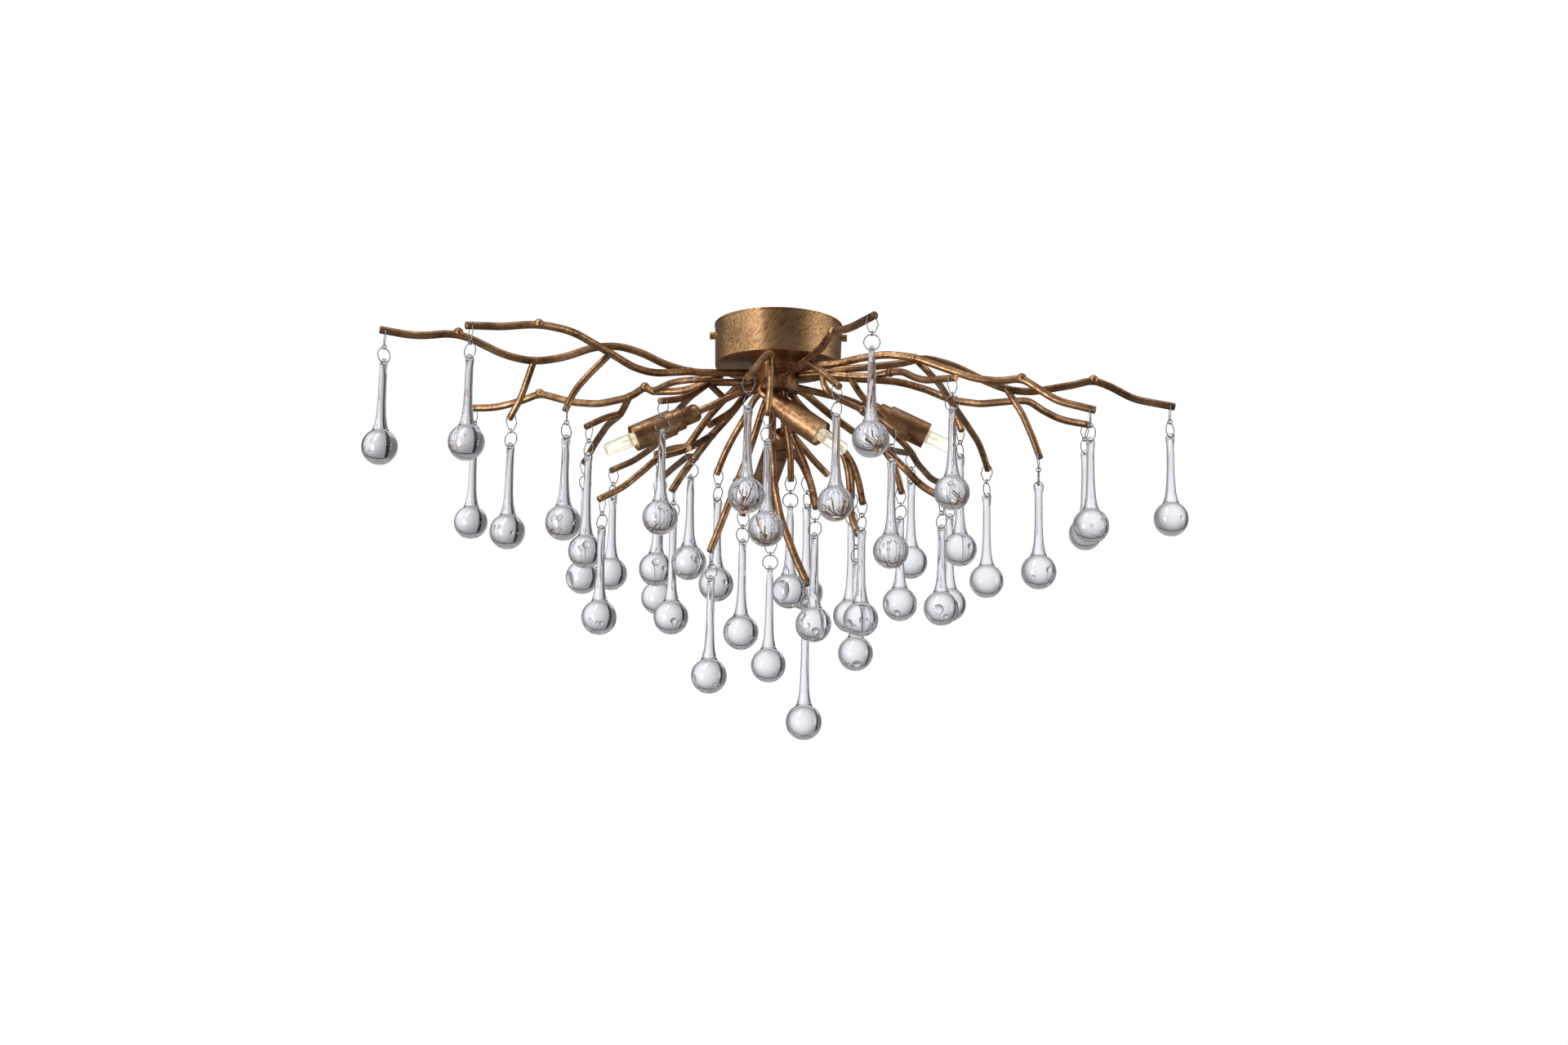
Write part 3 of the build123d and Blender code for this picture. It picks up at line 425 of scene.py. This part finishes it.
def wire_run(name, points, radius):
    """A round wire through points in mm, as a mesh."""
    bpy.ops.object.select_all(action="DESELECT")
    bpy.ops.curve.primitive_bezier_curve_add()
    wire = bpy.context.object
    wire.name = name
    knots = wire.data.splines[0].bezier_points
    knots.add(len(points) - 2)
    for knot, point in zip(knots, points):
        knot.co = Vector(point) * MM
        knot.handle_left_type = knot.handle_right_type = "AUTO"
    wire.data.bevel_depth, wire.data.bevel_resolution, wire.data.resolution_u = radius * MM, 2, 5
    wire.data.use_fill_caps = True
    bpy.ops.object.convert(target="MESH")
    return bpy.context.object


def pressed_foot():
    """The flat block of glass that seals the bulb's foot."""
    bpy.ops.object.select_all(action="DESELECT")
    bpy.ops.mesh.primitive_cube_add(size=1)
    foot = bpy.context.object
    size = [side * MM for side in FOOT_SIZE]
    foot.data.transform(Matrix.Translation((0, 0, FOOT_MIDDLE * MM)) @ Matrix.Diagonal((*size, 1)))
    edges = foot.modifiers.new("edges", "BEVEL")
    edges.width, edges.segments = 0.8 * MM, 2
    apply_modifiers(foot)
    return foot


# The hollow is turned like the tube, with its faces towards the space inside.
bore = BULB_RADIUS - GLASS_WALL
hollow = turned("bulb_hollow", [(0, 2.4), (3.0, 2.6), (bore - 1.0, 4.2), (bore, 7.0), (bore, GLASS_LENGTH - 5.5)]
                + arc((bore - 3.4, GLASS_LENGTH - 5.5), 3.4, 12, 84, 6) + [(0, GLASS_LENGTH - 2.0)], 40)
select_only(hollow)
bpy.ops.object.mode_set(mode="EDIT")
bpy.ops.mesh.select_all(action="SELECT")
bpy.ops.mesh.flip_normals()
bpy.ops.object.mode_set(mode="OBJECT")
tube = turned("bulb_tube", [(0, GLASS_LENGTH), (0.5, GLASS_LENGTH - 0.2), (0.9, GLASS_LENGTH - 0.9),
                            (1.6, GLASS_LENGTH - 1.3)]
              + arc((BULB_RADIUS - 4.2, GLASS_LENGTH - 5.5), 4.2, 80, 0, 8)
              + [(BULB_RADIUS, 6.5), (BULB_RADIUS - 0.3, 4.0), (5.6, 1.6), (4.2, 0.4), (0, 0)], 40)
bulb_glass_master = joined([tube, hollow, pressed_foot()], "bulb_glass_master")
smooth(bulb_glass_master, 45)
stays_master = joined([
    wire_run("stay", [(side * 3.0, 0, 0), (side * 3.1, 0.4, 9), (side * 2.4, 1.2, 14), (side * 3.4, 0.2, 19),
                      (side * 3.0, 0, 30)], STAY_RADIUS) for side in (-1, 1)]
    + [wire_run("pin", [(side * PIN_SPACING / 2, 0, -5), (side * PIN_SPACING / 2, 0, -14)], PIN_RADIUS)
       for side in (-1, 1)],
    "stays_master")
smooth(stays_master, 45)
filament_master = wire_run("filament_master", [
    (-3.0, 0, 30), (-2.2, 0, 17), (-1.4, 0, 30), (-0.5, 0, 17), (0.5, 0, 17), (1.4, 0, 30), (2.2, 0, 17),
    (3.0, 0, 30)], COIL_RADIUS)
smooth(filament_master, 45)
quartz, tungsten, dull_wire = lit_glass(), glowing_tungsten(), stay_wire()
for number in range(1, 5):
    node_name = f"bulb_{number}"
    joint = joints[f"bulb_{number}_pull"]
    turn = Vector(joint["axis"]).to_track_quat("Z", "Y").to_matrix()
    corners = [turn.transposed() @ vertex.co for vertex in nodes[node_name].data.vertices]
    low = Vector([min(c[i] for c in corners) for i in range(3)])
    high = Vector([max(c[i] for c in corners) for i in range(3)])
    middle = (low + high) / 2
    # The way across both pins comes from where the CAD bulb's lowest points are.
    pins = [(c.x - middle.x, c.y - middle.y) for c in corners if c.z < low.z + 3 * MM]
    pin_bearing = math.atan2(sum(2 * x * y for x, y in pins), sum(x * x - y * y for x, y in pins)) / 2
    foot = turn @ Vector((middle.x, middle.y, high.z - GLASS_LENGTH * MM))
    place = Matrix.Translation(foot) @ turn.to_4x4() @ Matrix.Rotation(pin_bearing, 4, "Z")
    glass = own_copy(bulb_glass_master, node_name + "_glass", place)
    finish_piece(glass, joint["child"], quartz, "bulb_glass", node_name)
    glass.visible_shadow = False
    stays = own_copy(stays_master, node_name + "_stays", place)
    finish_piece(stays, joint["child"], dull_wire, "bulb_glass")
    filament = own_copy(filament_master, node_name + "_filament", place)
    finish_piece(filament, joint["child"], tungsten, "bulb_glass")
for master in (bulb_glass_master, stays_master, filament_master):
    bpy.data.objects.remove(master)


# Stage: a pale floor far below, a white studio, and soft lights, in metres
FLOOR_RADIUS, FLOOR_HEIGHT = 12, -4.6
bpy.ops.object.select_all(action="DESELECT")
bpy.ops.mesh.primitive_circle_add(
    vertices=96, radius=FLOOR_RADIUS, fill_type="NGON", location=(0, 0, FLOOR_HEIGHT))
floor = bpy.context.object
floor.name = "studio_floor"
paper, tree = new_material("pale_studio_paper")
rays = add_node(tree, "ShaderNodeLightPath", {}, {})
through_glass = add_node(tree, "ShaderNodeMath", {"operation": "MULTIPLY"}, {
    0: rays.outputs["Is Transmission Ray"], 1: 0.25}).outputs[0]
seen = add_node(tree, "ShaderNodeMath", {"operation": "MAXIMUM"}, {
    0: rays.outputs["Is Camera Ray"], 1: through_glass}).outputs[0]
away = add_node(tree, "ShaderNodeVectorMath", {"operation": "LENGTH"}, {
    0: add_node(tree, "ShaderNodeTexCoord", {}, {}).outputs["Object"]}).outputs["Value"]
far = add_node(tree, "ShaderNodeMapRange", {"interpolation_type": "SMOOTHSTEP"}, {
    "Value": away, "From Min": 1.0, "From Max": 6.0, "To Min": 0.45, "To Max": 1.0}).outputs[0]
lift = add_node(tree, "ShaderNodeMath", {"operation": "MULTIPLY"}, {0: seen, 1: far}).outputs[0]
finish_material(tree, {"Base Color": linear("#D9D9D9"), "Roughness": 0.9, "Emission Color": linear("#FFFFFF"),
                       "Emission Strength": lift})
floor.data.materials.append(paper)
floor.visible_glossy = False


def screen(name, left, right, low, high, distance, material):
    """An upright studio screen behind the light. Only glass shows it."""
    bpy.ops.object.select_all(action="DESELECT")
    bpy.ops.mesh.primitive_plane_add(size=1)
    made = bpy.context.object
    made.name = name
    made.data.transform(Matrix.Translation(((left + right) / 2, distance, (low + high) / 2))
                        @ Matrix.Rotation(math.radians(90), 4, "X")
                        @ Matrix.Diagonal((right - left, high - low, 1, 1)))
    made.data.materials.append(material)
    made.visible_camera = made.visible_diffuse = made.visible_glossy = made.visible_shadow = False


SCREEN_DISTANCE, FLAG_DISTANCE = 1.92, 1.90
# Bleached cotton, lit from behind: brightest near its middle, and dim towards its edges
BRIGHTEST_SPOT = (0.5, SCREEN_DISTANCE, -0.3)
white_cloth, tree = new_material("lit_white_cloth")
from_middle = add_node(tree, "ShaderNodeVectorMath", {"operation": "DISTANCE"}, {
    0: add_node(tree, "ShaderNodeTexCoord", {}, {}).outputs["Object"], 1: BRIGHTEST_SPOT}).outputs["Value"]
glow = add_node(tree, "ShaderNodeMapRange", {"interpolation_type": "SMOOTHSTEP"}, {
    "Value": from_middle, "From Min": 0.2, "From Max": 2.1, "To Min": 1.08, "To Max": 0.3}).outputs[0]
cloth = add_node(tree, "ShaderNodeEmission", {}, {"Color": linear("#F9F9FD"), "Strength": glow})
add_node(tree, "ShaderNodeOutputMaterial", {}, {"Surface": cloth.outputs[0]})
# Wool felt, dyed black: it gives no light at all
black_felt, tree = new_material("black_felt")
felt = add_node(tree, "ShaderNodeEmission", {}, {"Color": linear("#000000"), "Strength": 0.0})
add_node(tree, "ShaderNodeOutputMaterial", {}, {"Surface": felt.outputs[0]})
screen("white_screen", -1.45, 4.0, -2.25, 1.75, SCREEN_DISTANCE, white_cloth)
screen("black_flag_left", -1.70, -1.22, -2.25, 1.8, FLAG_DISTANCE, black_felt)
screen("black_flag_top", -1.22, 4.0, 1.60, 1.8, FLAG_DISTANCE, black_felt)

studio = bpy.data.worlds.new("white_studio")
bpy.context.scene.world = studio
studio.use_nodes = True
tree = studio.node_tree
tree.nodes.clear()
way = add_node(tree, "ShaderNodeSeparateXYZ", {}, {
    0: add_node(tree, "ShaderNodeTexCoord", {}, {}).outputs["Generated"]})

# The room that glass and metal show past the white screen. It is dark behind the screen, and each row below is
# laid over the rows before it as a ray turns from the first value to the second: a grey ceiling, bright sides, the
# room in front, and the ground. The last two values are for what metal mirrors and what is seen through glass.
rays = add_node(tree, "ShaderNodeLightPath", {}, {})
through_glass = rays.outputs["Is Transmission Ray"]
room = 0.15
for axis, first, last, on_metal, in_glass in (
        ("Z", 0.55, 0.80, 0.34, 0.34), ("Y", 0.50, 0.25, 0.85, 0.42), ("Y", -0.35, -0.80, 0.13, 0.75),
        ("Z", 0.0, -0.35, 0.20, 0.20)):
    level = add_node(tree, "ShaderNodeMix", {"data_type": "FLOAT"}, {
        0: through_glass, 2: on_metal, 3: in_glass}).outputs[0]
    reached = add_node(tree, "ShaderNodeMapRange", {"interpolation_type": "SMOOTHSTEP"}, {
        "Value": way.outputs[axis], "From Min": first, "From Max": last}).outputs[0]
    room = add_node(tree, "ShaderNodeMix", {"data_type": "FLOAT"}, {0: reached, 2: room, 3: level}).outputs[0]
ROOM_LIGHT = 0.55           # what the room gives to matt surfaces
mirrored = add_node(tree, "ShaderNodeMath", {"operation": "MAXIMUM"}, {
    0: rays.outputs["Is Glossy Ray"], 1: through_glass}).outputs[0]
lit = add_node(tree, "ShaderNodeMix", {"data_type": "FLOAT"}, {0: mirrored, 2: ROOM_LIGHT, 3: room}).outputs[0]
strength = add_node(tree, "ShaderNodeMix", {"data_type": "FLOAT"}, {
    0: rays.outputs["Is Camera Ray"], 2: lit, 3: 1.0}).outputs[0]
shell = add_node(tree, "ShaderNodeBackground", {}, {"Color": linear("#FFFFFF"), "Strength": strength})
add_node(tree, "ShaderNodeOutputWorld", {}, {"Surface": shell.outputs[0]})


def soft_light(name, place, target, width, height, watts):
    """A soft box that faces the target. Glass mirrors it, and doesn't show it to one who looks through."""
    lamp = bpy.data.lights.new(name, "AREA")
    lamp.shape, lamp.size, lamp.size_y, lamp.energy = "RECTANGLE", width, height, watts
    holder = bpy.data.objects.new(name, lamp)
    holder.visible_transmission = False
    bpy.context.scene.collection.objects.link(holder)
    holder.location = place
    holder.rotation_euler = (Vector(target) - Vector(place)).to_track_quat("-Z", "Y").to_euler()


soft_light("key_softbox", (-2.3, -2.2, -0.9), (0, 0, -0.15), 1.2, 1.8, 70)
soft_light("side_softbox", (2.6, -0.6, -0.3), (0, 0, -0.15), 0.8, 1.6, 13)
soft_light("top_softbox", (-1.0, -1.3, 1.5), (0, 0, -0.1), 0.5, 2.2, 24)


# Camera, from below and in front, at the photograph's angle
CAMERA_PLACE = (0.010, -3.5753, -1.1026)
CAMERA_TILT = math.radians(13.7)
CAMERA_ROLL = math.radians(0.97)
LENS, SENSOR_WIDTH = 75, 36     # mm
camera = bpy.data.objects.new("camera", bpy.data.cameras.new("camera"))
bpy.context.scene.collection.objects.link(camera)
camera.data.lens, camera.data.sensor_width = LENS, SENSOR_WIDTH
camera.matrix_world = (Matrix.Translation(CAMERA_PLACE) @ Matrix.Rotation(math.radians(90) + CAMERA_TILT, 4, "X")
                       @ Matrix.Rotation(CAMERA_ROLL, 4, "Z"))
bpy.context.scene.camera = camera
bpy.context.scene.view_settings.view_transform = "Standard"

bpy.context.view_layer.update()
